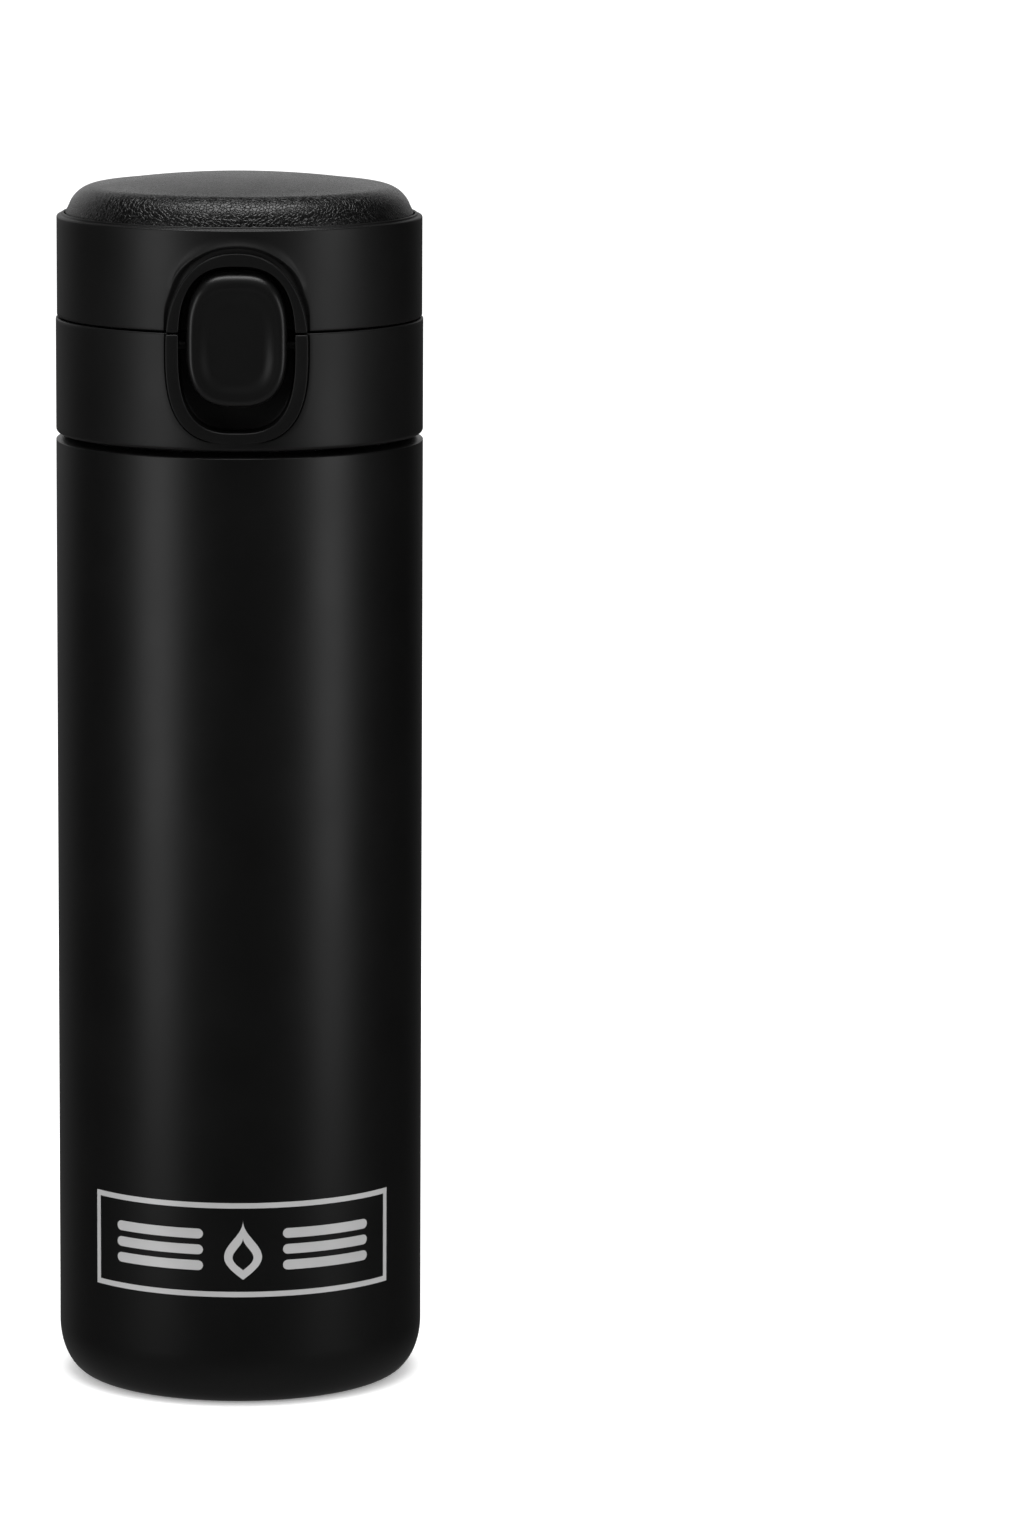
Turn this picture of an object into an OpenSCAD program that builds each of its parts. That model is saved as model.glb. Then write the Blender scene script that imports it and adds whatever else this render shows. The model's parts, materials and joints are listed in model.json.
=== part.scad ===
// Vacuum flask with a screw-on collar, a flip lid and a push-button latch.
// The origin is the centre of the base ring on the table, +Z is up and the button faces -Y.

/* [Body] */
// Outer diameter of the body
body_d = 66; // [66:0.5:72]
// Height of the body's shoulder above the table
body_h = 172.1; // [120:0.1:240]
// Thickness of the outer steel wall
outer_t = 0.5; // [0.4:0.05:0.7]
// Thickness of the inner steel wall
inner_t = 0.45; // [0.35:0.05:0.6]
// Width of the vacuum between the two walls
vacuum_gap = 3; // [2.4:0.1:3.4]
// Height of the curved foot
foot_h = 9.3; // [8:0.1:12]
// How far the foot curves in
foot_in = 5.7; // [5:0.1:6.2]

/* [Neck and thread] */
// Outer diameter of the steel neck
neck_d = 45.6; // [45:0.1:45.8]
// Height of the neck above the shoulder
neck_h = 15.4; // [15:0.1:16]
// Rise of the thread in one turn
pitch = 4; // [3.8:0.1:4.4]
// Height of the thread above the neck
thread_t = 1.2; // [0.8:0.1:1.2]
// Turns of thread on the neck
neck_turns = 1.75; // [1.25:0.25:1.75]
// Turns of thread in the collar
collar_turns = 1.5; // [1.25:0.25:1.5]

/* [Collar] */
// Height of the collar
collar_h = 20.75; // [20.5:0.05:24]
// Thickness of the collar's outer wall
collar_t = 2.4; // [2:0.1:2.6]
// Groove between the body and the collar
collar_gap = 0.4; // [0.3:0.1:0.8]
// Inner diameter of the drinking spout
spout_d = 26.4; // [24:0.2:28]
// Height of the spout above the collar's deck
spout_h = 8.85; // [7:0.05:9]

/* [Lid] */
// Height of the lid's side wall
lid_h = 18.45; // [18:0.05:22]
// Step from the collar's radius in to the lid's radius
lid_step = 0.2; // [0:0.05:0.4]
// Thickness of the lid's side wall
lid_t = 2; // [1.6:0.1:2.2]
// Gap between the collar and the lid
lid_gap = 0.3; // [0.2:0.05:0.5]
// Height of the crown above the lid's lip
crown_h = 6.96; // [5:0.01:9]

/* [Hinge] */
// Diameter of the hinge pin
hinge_pin_d = 2.5; // [2:0.1:2.8]
// Outer diameter of the hinge knuckles
knuckle_d = 6; // [5.6:0.1:6.2]
// Half of the hinge's whole width
hinge_w = 11.3; // [10.5:0.1:12]

/* [Button] */
// Width of the button
button_w = 17.7; // [16:0.1:18]
// Height of the button
button_h = 24; // [22:0.1:24.5]
// Width of the flat surround
surround_w = 25.1; // [24.5:0.1:26]
// Height of the flat surround
surround_h = 33.5; // [33:0.1:34]
// Width of the opening in the surround
window_w = 20.6; // [20:0.1:21.4]
// Height of the opening in the surround
window_h = 29.4; // [29:0.1:30]
// Diameter of the button's pivot pin
button_pin_d = 1.6; // [1.4:0.1:1.8]

/* [Hidden] */
$fn = 96;

black = [0.07, 0.07, 0.075];
soft_black = [0.12, 0.12, 0.125];
deep_black = [0.04, 0.04, 0.045];
steel = [0.74, 0.74, 0.76];
silicone = [0.75, 0.77, 0.78];
copper = [0.8, 0.46, 0.3];

running = 0.05;          // radial clearance of a pin that turns
fixed = 0.01;            // radial clearance of a pin that is pressed in
skin = 0.05;             // gap between two pieces that are joined
embed = 0.25;            // how deep a thread's root reaches into its wall
turn_steps = 36;         // straight steps in one turn of thread
coil_steps = 18;         // straight steps in one turn of spring

body_r = body_d / 2;
neck_r = neck_d / 2;
neck_top = body_h + neck_h;
shoulder_r = 1;          // rounding of the body's top edge
fillet_r = 1.2;          // fillet at the foot of the neck
lip_r = body_r - 8;      // inner radius of the ring that the flask stands on
lip_round = 0.8;         // rounding of that ring
base_z = 1.9;            // height of the outer bottom's middle above the table
port_r = 1.2;            // radius of the vacuum port

vessel_r = body_r - outer_t - vacuum_gap;
vessel_neck_r = neck_r - 1.5;
vessel_floor_z = 5.4;
vessel_corner_r = 5;
vessel_weld_z = 11;      // height of the inner bottom's weld
vessel_shoulder_z = body_h - 16;
vessel_neck_z = body_h - 2;

collar_z = body_h + collar_gap;
collar_top = collar_z + collar_h;
collar_in = body_r - collar_t;
deck_t = 1.8;
deck_z = neck_top + 1.5;             // underside of the collar's deck
deck_top = deck_z + deck_t;
socket_r = neck_r + thread_t + 0.45; // inner radius of the collar's screw socket
socket_t = 1.75;
plug_r = vessel_neck_r - inner_t - 0.65;
plug_t = 1.4;
plug_h = 4.5;
deck_joint_r = socket_r - 2;         // radius where the spout steps into the screw ring
spout_r = spout_d / 2;
spout_lip = 1.25;                    // half thickness of the spout's rounded lip
spout_top = deck_top + spout_h;

lid_z = collar_top + lid_gap;
lid_r = body_r - lid_step;
lid_in = lid_r - lid_t;
lid_top = lid_z + lid_h;
rim_round = 0.9;
web_t = 2;
web_z = lid_top - 4.6;               // underside of the lid's inner web
crown_r = lid_r - 1.63;
crown_t = 2.2;
liner_r = lid_in - 0.4;
liner_t = 1.6;
liner_z = web_z - 4;                 // underside of the liner's disc
seal_z = spout_top + skin;           // face of the silicone that closes the spout
seal_t = 1.5;
seal_r = spout_r + 2 * spout_lip + 1.1; // outer radius of that silicone

hinge_y = body_r - 1.8;
hinge_z = collar_top + lid_gap / 2;
knuckle_r = knuckle_d / 2;
knuckle_room = knuckle_r + 0.5;
lid_knuckle = hinge_w - 3.9;         // half width of the lid's knuckle
collar_knuckle = hinge_w - 3.7;      // inner end of each collar knuckle
coil_r = 2.1;                        // mean radius of the lid's spring
coil_wire = 0.4;                     // radius of its wire
coil_half = 3;                       // half of its length
hinge_back = hinge_y - knuckle_r - 0.6;

surround_z = collar_z + 1.5;
window_z = surround_z + 1.8;
button_z = window_z + window_h - 0.8 - button_h;
face_y = -body_r;                    // the surround is flat and touches the body's front
pocket_y = face_y + 5.7;             // floor of the collar's button pocket
pocket_t = 0.8;
catch_y = face_y + 4.8;              // floor of the lid's button pocket
button_front = face_y - 0.4;
button_back = face_y + 2;
pivot_y = face_y + 3.75;
pivot_z = button_z + 10.6;
hook_z = pivot_z + 9.3;
hook_tip = face_y + 4;
ledge_y = hook_tip + 0.2;
spring_z = button_z + 4.2;

// Points along an arc in a plane, from angle a0 to a1
function arc(cx, cy, r, a0, a1, n = 8) =
    [for (i = [0:n]) let (a = a0 + (a1 - a0) * i / n) [cx + r * cos(a), cy + r * sin(a)]];

function reversed(list) = [for (i = [len(list) - 1:-1:0]) list[i]];

// A smooth step from 0 to 1
function ease(u) = (1 - cos(180 * u)) / 2;

// Upright oval w wide from y0 to y1, widest at the share mid of its height. The exponents
// top and base say how square its two ends are: 2 is an ellipse, more is squarer.
function oval(w, y0, y1, mid, top, base) =
    let (ym = y0 + (y1 - y0) * mid)
    [for (a = [0:5:355]) let (c = cos(a), s = sin(a), n = s < 0 ? base : top)
        let (reach = s < 0 ? ym - y0 : y1 - ym)
        [w / 2 * sign(c) * pow(abs(c), 2 / n), ym + reach * sign(s) * pow(abs(s), 2 / n)]];

// The outer bottom's section, t inside its surface
function foot_line(t) = concat(
    [[0, base_z + t], [lip_r + t, base_z + t]],
    arc(lip_r + lip_round, lip_round, lip_round - t, 180, 270, 4),
    [for (a = [0:7.5:90]) [body_r - foot_in + (foot_in - t) * sin(a), foot_h - (foot_h - t) * cos(a)]]
);

// The outer wall's section, t inside its surface
function shell_line(t) = concat(
    [[body_r - t, foot_h]],
    arc(body_r - shoulder_r, body_h - shoulder_r, shoulder_r - t, 0, 90),
    arc(neck_r + fillet_r, body_h + fillet_r, fillet_r + t, 270, 180),
    [[neck_r - t, neck_top - inner_t]]
);

// The inner vessel's section, t inside its surface
function vessel_line(t) = concat(
    [[vessel_r - t, vessel_weld_z]],
    [for (i = [0:12]) [
        vessel_r - t + (vessel_neck_r - vessel_r) * ease(i / 12),
        vessel_shoulder_z + (vessel_neck_z - vessel_shoulder_z) * i / 12
    ]]
);

// The inner bottom's section, t inside its surface
function cup_line(t) = concat(
    [[0, vessel_floor_z + 1 + t]],
    arc(vessel_r - vessel_corner_r, vessel_floor_z + vessel_corner_r, vessel_corner_r - t, 270, 360, 12),
    [[vessel_r - t, vessel_weld_z]]
);

// The crown's section, t inside its surface: a leaning side, a round corner and a shallow dome
function crown_line(t) =
    let (corner = 5.5, lean = 20, rise = 1.96, side = crown_r - t)
    let (cx = side - 0.6 - (corner - t) * cos(lean), cz = lid_top + crown_h - rise - corner)
    concat(
        [[side, lid_top + 0.1]],
        arc(cx, cz, corner - t, lean, 84),
        [for (i = [1:8]) let (u = 1 - i / 8)
            [cx * u, cz + (corner - t) * sin(84) + (1 - u * u) * rise]]
    );

// A solid swept through equal closed rings of points
module sweep(rings) {
    n = len(rings[0]);
    last = (len(rings) - 1) * n;
    polyhedron(
        points = [for (ring = rings) each ring],
        faces = concat(
            [[for (i = [0:n - 1]) n - 1 - i]],
            [for (k = [0:n:last - 1]) for (i = [0:n - 1]) let (j = (i + 1) % n)
                each [[k + i, k + j, k + n + j], [k + i, k + n + j, k + n + i]]],
            [[for (i = [0:n - 1]) last + i]]
        )
    );
}

// A right-hand thread between radii root and crest that starts at height z and angle turn0
module thread(root, crest, z, turns, turn0) {
    wide = 2.3;
    narrow = 1.2;
    lead = 0.12;
    steps = round(turns * turn_steps);
    base = root + (root < crest ? -embed : embed);
    sweep([for (i = [0:steps])
        let (u = turns * i / steps, a = 360 * (turn0 + u), h = z + pitch * (turn0 + u))
        let (tip = base + (crest - base) * min(1, 0.1 + 0.9 * min(u, turns - u) / lead))
        let (loop = [[base, -wide / 2], [tip, -narrow / 2], [tip, narrow / 2], [base, wide / 2]])
        [for (p = root < crest ? loop : reversed(loop)) [p[0] * cos(a), p[0] * sin(a), h + p[1]]]
    ]);
}

// A coil of round wire about +Z from 0 to height h
module coil(r, wire, turns, h) {
    sides = 8;
    steps = round(turns * coil_steps);
    sweep([for (i = [0:steps])
        let (a = 360 * turns * i / steps, z = wire + (h - 2 * wire) * i / steps)
        [for (s = [0:sides - 1]) let (b = 360 * s / sides, rr = r + wire * cos(b))
            [rr * cos(a), rr * sin(a), z + wire * sin(b)]]
    ]);
}

// An upright outline given thickness from y0 back to y1
module slab(outline, y0, y1) {
    translate([0, y1, 0]) rotate([90, 0, 0]) linear_extrude(y1 - y0) polygon(outline);
}

// A side view in Y and Z given width from x0 to x1
module rib(outline, x0, x1) {
    translate([x0, 0, 0]) rotate([90, 0, 90]) linear_extrude(x1 - x0) polygon(outline);
}

// A round bar along X about a point in the YZ plane
module cross_bar(r, y, z, x0, x1) {
    translate([x0, y, z]) rotate([0, 90, 0]) cylinder(r = r, h = x1 - x0);
}

// Both sides of the middle plane
module both_sides() {
    children();
    mirror([1, 0, 0]) children();
}

module slice(z0, z1) {
    translate([0, 0, z0]) cylinder(r = body_r + 6, h = z1 - z0);
}

module surround(depth_y) {
    slab(oval(surround_w, surround_z, surround_z + surround_h, 0.50, 2.15, 2.9), face_y, depth_y);
}

module window(depth_y) {
    slab(oval(window_w, window_z, window_z + window_h, 0.52, 2.7, 2.9), face_y - 1, depth_y);
}

// Room that an inner moulding leaves for the button's pocket
module pocket_room() {
    half = surround_w / 2 + 0.3;
    back = pocket_y + pocket_t + skin;
    translate([-half, face_y - 1, collar_z]) cube([2 * half, back - face_y + 1, lid_top - collar_z]);
}

// Room that an inner moulding leaves for the hinge between two heights
module hinge_room(z0, z1) {
    half = hinge_w + 0.5;
    translate([-half, hinge_back - 0.3, z0]) cube([2 * half, body_r - hinge_back, z1 - z0]);
}

// Steel outer wall with its shoulder and threaded neck
module outer_shell() {
    color(black) {
        rotate_extrude() polygon(concat(shell_line(0), reversed(shell_line(outer_t))));
        thread(neck_r, neck_r + thread_t, body_h + 4.4, neck_turns, 0);
    }
}

// Pressed steel cup with the curved foot, the standing ring and the vacuum port
module outer_bottom() {
    color(black) difference() {
        rotate_extrude() polygon(concat(foot_line(0), reversed(foot_line(outer_t))));
        translate([0, 0, base_z - 1]) cylinder(r = port_r + skin, h = 3);
    }
}

module base_cover() {
    color(steel) rotate_extrude() polygon([
        [0, 0.5], [16, 0.5], [16.6, 0.9], [17.6, 0.9], [18.2, 0.3],
        [lip_r - 0.8, 0.3], [lip_r - 0.3, 0.8], [lip_r - 0.3, 1.3], [0, 1.3]
    ]);
}

module inner_vessel() {
    color(steel) rotate_extrude() polygon(concat(
        vessel_line(0),
        [[vessel_neck_r, neck_top - inner_t], [neck_r, neck_top - inner_t], [neck_r, neck_top]],
        [[vessel_neck_r - inner_t, neck_top]],
        reversed(vessel_line(inner_t))
    ));
}

module inner_bottom() {
    color(steel) rotate_extrude() polygon(concat(cup_line(0), reversed(cup_line(inner_t))));
}

module copper_foil() {
    foil_t = 0.12;
    color(copper) translate([0, 0, vessel_weld_z + 6]) difference() {
        cylinder(r = vessel_r + skin + foil_t, h = vessel_shoulder_z - vessel_weld_z - 12);
        translate([0, 0, -1]) cylinder(r = vessel_r + skin, h = body_h);
    }
}

module getter() {
    color(steel) translate([12, 0, base_z + outer_t]) cylinder(r = 5, h = 1.6);
}

module port_seal() {
    color(deep_black) translate([0, 0, base_z - 0.4]) {
        cylinder(r = 2.2, h = 0.4);
        cylinder(r = port_r, h = outer_t + 0.4);
    }
}

module neck_gasket() {
    g = 0.3;
    color(silicone) rotate_extrude() polygon([
        [plug_r + skin, neck_top + g], [plug_r + g, neck_top], [socket_r - 0.6, neck_top],
        [socket_r - 0.25, neck_top + g], [socket_r - 0.25, deck_z - g],
        [socket_r - 0.6, deck_z - skin], [plug_r + skin, deck_z - skin]
    ]);
}

// Outer moulding of the collar with the lower half of the surround and the hinge block
module collar_shell() {
    edge = 0.8;
    block_h = 9;
    ramp_h = 12;
    ring = concat(
        [[collar_in, collar_z]],
        arc(body_r - edge, collar_z + edge, edge, 270, 360, 5),
        arc(body_r - 0.3, collar_top - 0.3, 0.3, 0, 90, 3),
        [[collar_in, collar_top]]
    );
    ear = concat(
        arc(hinge_y, hinge_z, knuckle_r, 0, 180, 16),
        [[hinge_y - knuckle_r, hinge_z - block_h], [hinge_y - 0.4, hinge_z - ramp_h]]
    );
    color(soft_black) difference() {
        union() {
            rotate_extrude() polygon(ring);
            intersection() {
                surround(pocket_y + pocket_t);
                slice(collar_z, collar_top);
            }
            intersection() {
                translate([-hinge_w, hinge_back, hinge_z - block_h])
                    cube([2 * hinge_w, body_r - hinge_back, block_h]);
                cylinder(r = body_r - 1, h = collar_top);
            }
            both_sides() rib(ear, collar_knuckle, hinge_w);
        }
        window(pocket_y);
        cross_bar(knuckle_room, hinge_y, hinge_z, -collar_knuckle, collar_knuckle);
        cross_bar(hinge_pin_d / 2 + fixed, hinge_y, hinge_z, -hinge_w + 0.8, hinge_w - 0.8);
        cross_bar(button_pin_d / 2 + fixed, pivot_y, pivot_z, -surround_w / 2 + 1, surround_w / 2 - 1);
    }
}

// Threaded inner ring of the collar, with the outer part of the deck
module screw_ring() {
    section = [
        [socket_r, collar_z + 0.9], [socket_r + socket_t, collar_z + 0.9], [socket_r + socket_t, deck_z],
        [collar_in - 0.1, deck_z], [collar_in - 0.1, deck_top], [deck_joint_r, deck_top],
        [deck_joint_r, deck_z + deck_t / 2], [socket_r, deck_z + deck_t / 2]
    ];
    color(deep_black) {
        difference() {
            rotate_extrude() polygon(section);
            pocket_room();
            hinge_room(deck_z - 1, deck_top + 1);
        }
        thread(socket_r, socket_r - thread_t, body_h + 4.4 - pitch / 2, collar_turns, 0.4);
    }
}

// Drinking spout with the inner part of the deck and the plug that centres in the neck
module drink_spout() {
    root = 1.5;
    wall = 2 * spout_lip + 0.5;
    section = concat(
        [[socket_r - skin, deck_z], [socket_r - skin, deck_z + deck_t / 2]],
        [[deck_joint_r - skin, deck_z + deck_t / 2], [deck_joint_r - skin, deck_top]],
        arc(spout_r + wall + root, deck_top + root, root, 270, 180, 5),
        arc(spout_r + spout_lip, spout_top - spout_lip, spout_lip, 0, 180, 12),
        [[spout_r, deck_z], [plug_r - plug_t, deck_z], [plug_r - plug_t, deck_z - plug_h]],
        [[plug_r, deck_z - plug_h], [plug_r, deck_z]]
    );
    color(deep_black) rotate_extrude() polygon(section);
}

module hinge_pin() {
    color(steel) cross_bar(hinge_pin_d / 2, hinge_y, hinge_z, 1 - hinge_w, hinge_w - 1);
}

module lid_spring() {
    color(steel) translate([-coil_half, hinge_y, hinge_z]) rotate([0, 90, 0])
        coil(coil_r, coil_wire, 5, 2 * coil_half);
}

module button_pin() {
    half = surround_w / 2 - 1.2;
    color(steel) cross_bar(button_pin_d / 2, pivot_y, pivot_z, -half, half);
}

module button_spring() {
    color(steel) translate([0, pocket_y, spring_z]) rotate([90, 0, 0])
        coil(1.8, 0.3, 3, pocket_y - button_back);
}

// Outer face of the button, sunk inside a raised rim
module button_cap() {
    rim = 2.4;
    sunk = 0.4;
    z1 = button_z + button_h;
    color(black) difference() {
        slab(oval(button_w, button_z, z1, 0.44, 3.1, 2.7), button_front, button_back);
        slab(
            oval(button_w - 2 * rim, button_z + rim, z1 - rim, 0.44, 3.1, 2.7),
            button_front - 1, button_front + sunk
        );
    }
}

// Lever behind the button with its pivot boss and the hook for the lid
module latch_lever() {
    boss_r = pivot_y - button_back - running;
    boss_x = 7.5;
    arm_x = 5;
    arm_t = 1.1;
    hook_x = 4;
    hook_t = 1.7;
    arm_z = pivot_z - 2;
    color(deep_black) difference() {
        union() {
            translate([-arm_x, button_back, arm_z]) cube([2 * arm_x, arm_t, hook_z + hook_t - arm_z]);
            translate([-hook_x, button_back, hook_z]) cube([2 * hook_x, hook_tip - button_back, hook_t]);
            translate([-boss_x, button_back, pivot_z - boss_r]) cube([2 * boss_x, arm_t, 2 * boss_r]);
            cross_bar(boss_r, pivot_y, pivot_z, -boss_x, boss_x);
        }
        cross_bar(button_pin_d / 2 + running, pivot_y, pivot_z, -boss_x - 1, boss_x + 1);
    }
}

// Side wall of the lid with the upper half of the surround, the catch ledge and the knuckle
module lid_shell() {
    ramp_h = 10;
    ledge_x = 4.5;
    ledge_t = 1.6;
    cut_z = lid_z - 1;
    ring = concat(
        [[lid_in, lid_z], [lid_r - 0.3, lid_z], [lid_r, lid_z + 0.3]],
        arc(lid_r - rim_round, lid_top - rim_round, rim_round, 0, 90, 6),
        [[crown_r + 0.25, lid_top], [crown_r + 0.25, web_z + web_t], [0, web_z + web_t]],
        [[0, web_z], [lid_in, web_z]]
    );
    knuckle = concat(
        arc(hinge_y, hinge_z, knuckle_r, 180, 360, 16),
        [[hinge_y + 0.2, hinge_z + ramp_h], [hinge_y - 0.4, hinge_z + ramp_h]],
        [[hinge_y - 0.4, hinge_z + ramp_h / 2]]
    );
    color(soft_black) difference() {
        union() {
            difference() {
                rotate_extrude() polygon(ring);
                translate([-hinge_w - 0.2, hinge_back, cut_z])
                    cube([2 * hinge_w + 0.4, body_r - hinge_back, hinge_z + knuckle_room + 0.25 - cut_z]);
            }
            intersection() {
                surround(catch_y + pocket_t);
                slice(lid_z, lid_top);
            }
            rib(knuckle, -lid_knuckle, lid_knuckle);
        }
        difference() {
            window(catch_y);
            translate([-ledge_x, ledge_y, hook_z - 0.2 - ledge_t]) cube([2 * ledge_x, 5, ledge_t]);
        }
        cross_bar(hinge_pin_d / 2 + running, hinge_y, hinge_z, -hinge_w, hinge_w);
        cross_bar(coil_r + coil_wire + running, hinge_y, hinge_z, -coil_half - 0.2, coil_half + 0.2);
    }
}

module crown_cap() {
    color(black) rotate_extrude() polygon(concat(
        [[crown_r, web_z + web_t + skin]],
        crown_line(0),
        reversed(crown_line(crown_t)),
        [[crown_r - crown_t, web_z + web_t + skin]]
    ));
}

module lid_liner() {
    seat_w = 3;
    color(deep_black) difference() {
        rotate_extrude() polygon([
            [liner_r - liner_t, lid_z + 0.6], [liner_r, lid_z + 0.6], [liner_r, web_z],
            [liner_r - seat_w, web_z], [liner_r - seat_w, liner_z + liner_t], [0, liner_z + liner_t],
            [0, liner_z], [liner_r - liner_t, liner_z]
        ]);
        pocket_room();
        hinge_room(lid_z, lid_z + 5);
    }
}

module seal_carrier() {
    carrier_r = seal_r - 0.4;
    color(deep_black) rotate_extrude() polygon([
        [0, seal_z + seal_t], [carrier_r - 0.5, seal_z + seal_t], [carrier_r, seal_z + seal_t + 0.5],
        [carrier_r, liner_z], [0, liner_z]
    ]);
}

// Silicone cup stretched over the carrier, with a nose that centres in the spout
module spout_seal() {
    color(silicone) rotate_extrude() polygon([
        [0, seal_z - 2.1], [spout_r - 1.2, seal_z - 2.1], [spout_r - 0.5, seal_z], [seal_r - 0.4, seal_z],
        [seal_r, seal_z + 0.4], [seal_r, liner_z - 0.4], [seal_r - 0.35, liner_z - 0.1],
        [seal_r - 0.35, seal_z + seal_t - 0.02], [0, seal_z + seal_t - 0.02]
    ]);
}

outer_shell();
outer_bottom();
base_cover();
inner_vessel();
inner_bottom();
copper_foil();
getter();
port_seal();
neck_gasket();
collar_shell();
screw_ring();
drink_spout();
hinge_pin();
lid_spring();
button_pin();
button_spring();
button_cap();
latch_lever();
lid_shell();
crown_cap();
lid_liner();
seal_carrier();
spout_seal();
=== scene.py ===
import json
import math

import bmesh
import bpy
from mathutils import Matrix, Vector


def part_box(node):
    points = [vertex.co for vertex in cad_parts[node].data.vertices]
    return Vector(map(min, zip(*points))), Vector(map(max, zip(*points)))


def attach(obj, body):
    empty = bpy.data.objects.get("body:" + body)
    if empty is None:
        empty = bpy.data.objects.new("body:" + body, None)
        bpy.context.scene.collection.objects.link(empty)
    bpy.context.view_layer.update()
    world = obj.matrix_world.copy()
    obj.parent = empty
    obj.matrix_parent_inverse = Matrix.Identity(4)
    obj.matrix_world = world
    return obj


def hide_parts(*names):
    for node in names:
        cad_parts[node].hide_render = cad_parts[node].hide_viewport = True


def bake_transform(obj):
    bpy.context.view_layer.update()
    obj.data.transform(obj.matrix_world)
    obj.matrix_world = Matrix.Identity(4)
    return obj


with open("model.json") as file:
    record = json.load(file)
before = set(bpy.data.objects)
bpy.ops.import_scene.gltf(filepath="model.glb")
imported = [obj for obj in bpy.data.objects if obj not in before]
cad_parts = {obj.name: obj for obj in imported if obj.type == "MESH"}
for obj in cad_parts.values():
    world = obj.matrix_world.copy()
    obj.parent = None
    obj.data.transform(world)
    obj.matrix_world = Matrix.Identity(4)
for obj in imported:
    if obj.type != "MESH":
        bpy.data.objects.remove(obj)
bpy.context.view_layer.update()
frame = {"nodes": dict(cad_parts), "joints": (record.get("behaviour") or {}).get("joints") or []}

# Lengths in this script are in millimetres until mesh_object() turns them into metres.
MM = 0.001
HINGE = next(j for j in frame["joints"] if j["name"] == "lid_flip")


def low(node, axis):
    """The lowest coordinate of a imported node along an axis."""
    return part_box(node)[0][axis] / MM


def high(node, axis):
    """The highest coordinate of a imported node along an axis."""
    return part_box(node)[1][axis] / MM


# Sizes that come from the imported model
FOOT_H = low("outer_shell", 2)
BODY_R = high("outer_bottom", 0)
NECK_TOP = high("inner_vessel", 2)
COLLAR_Z = low("collar_shell", 2)
HINGE_Y, HINGE_Z = (c / MM for c in HINGE["pos_m"][1:])
LID_R = high("lid_shell", 0)
LID_TOP = high("lid_shell", 2)
CROWN_TOP = high("crown_cap", 2)
CROWN_R = high("crown_cap", 0)
SPOUT_TOP = high("drink_spout", 2)
BUTTON_FRONT = low("button_cap", 1)
BUTTON_BACK = high("button_cap", 1)
BUTTON_Z0, BUTTON_Z1 = low("button_cap", 2), high("button_cap", 2)
BUTTON_W = 2 * high("button_cap", 0)

# Sizes of the same source that the boxes don't give
SEAM = 0.15                  # half of the gap between the collar and the lid
COLLAR_TOP = HINGE_Z - SEAM
LID_Z = HINGE_Z + SEAM
BODY_H = COLLAR_Z - 0.4      # top of the outer wall's shoulder
NECK_R = 22.8
NECK_FILLET = 1.2            # fillet at the foot of the neck
OUTER_T, VESSEL_T = 0.5, 0.45   # thicknesses of the two steel walls
FOOT_CURVE = 5.7             # how far the curved foot reaches inwards
PITCH = 4.0                  # of the screw thread
COLLAR_IN = 30.6             # inner radii of the collar's and the lid's walls
LID_IN = 30.8
MOULDED_T = 0.8              # thickness of the pocket's floor
WEB_Z, WEB_T = LID_TOP - 4.6, 2.0
WEB_TOP = WEB_Z + WEB_T
FACE_Y = -BODY_R             # the flat face of the surround
POCKET_Y, CATCH_Y = FACE_Y + 5.7, FACE_Y + 4.8
DECK_TOP = SPOUT_TOP - 8.85
SPOUT_IN = 13.2
KNUCKLE_R = 3.0
KNUCKLE_ROOM = 3.5           # radius of the room round the knuckle
LID_KNUCKLE = 7.4            # half width of the lid's knuckle
EAR_IN, EAR_OUT = 7.6, 11.3
NOTCH_X = 11.5               # half width and top of the notch in the lid's rear wall
NOTCH_TOP = HINGE_Z + KNUCKLE_ROOM + 0.25


# ---------------------------------------------------------------- mesh helpers

def mesh_object(name, verts, faces, body, slot, material, replaces=(), smooth_deg=40):
    """A new piece from points in millimetres, which rides on a body, if one is named."""
    mesh = bpy.data.meshes.new(name)
    mesh.from_pydata([Vector(v) * MM for v in verts], [], faces)
    mesh.validate()
    obj = bpy.data.objects.new(name, mesh)
    bpy.context.scene.collection.objects.link(obj)
    for m in material if isinstance(material, (list, tuple)) else [material]:
        mesh.materials.append(m)
    finish_mesh(obj, smooth_deg)
    if body:
        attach(obj, body)
    if replaces:
        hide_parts(*replaces)
    return obj


def finish_mesh(obj, smooth_deg):
    """Merges doubled points, turns the normals outwards and marks the sharp edges."""
    bm = bmesh.new()
    bm.from_mesh(obj.data)
    bmesh.ops.remove_doubles(bm, verts=bm.verts, dist=2e-6)
    bmesh.ops.dissolve_degenerate(bm, edges=bm.edges, dist=1e-6)
    bmesh.ops.recalc_face_normals(bm, faces=bm.faces)
    limit = math.radians(smooth_deg)
    for f in bm.faces:
        f.smooth = True
    for e in bm.edges:
        e.smooth = len(e.link_faces) == 2 and e.calc_face_angle(math.pi) < limit
    bm.to_mesh(obj.data)
    bm.free()


def arc(cx, cz, r, a0, a1, n=8):
    """Points on an arc of a section, from angle a0 to a1 in degrees."""
    out = []
    for i in range(n + 1):
        a = math.radians(a0 + (a1 - a0) * i / n)
        out.append((cx + r * math.cos(a), cz + r * math.sin(a)))
    return out


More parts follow.
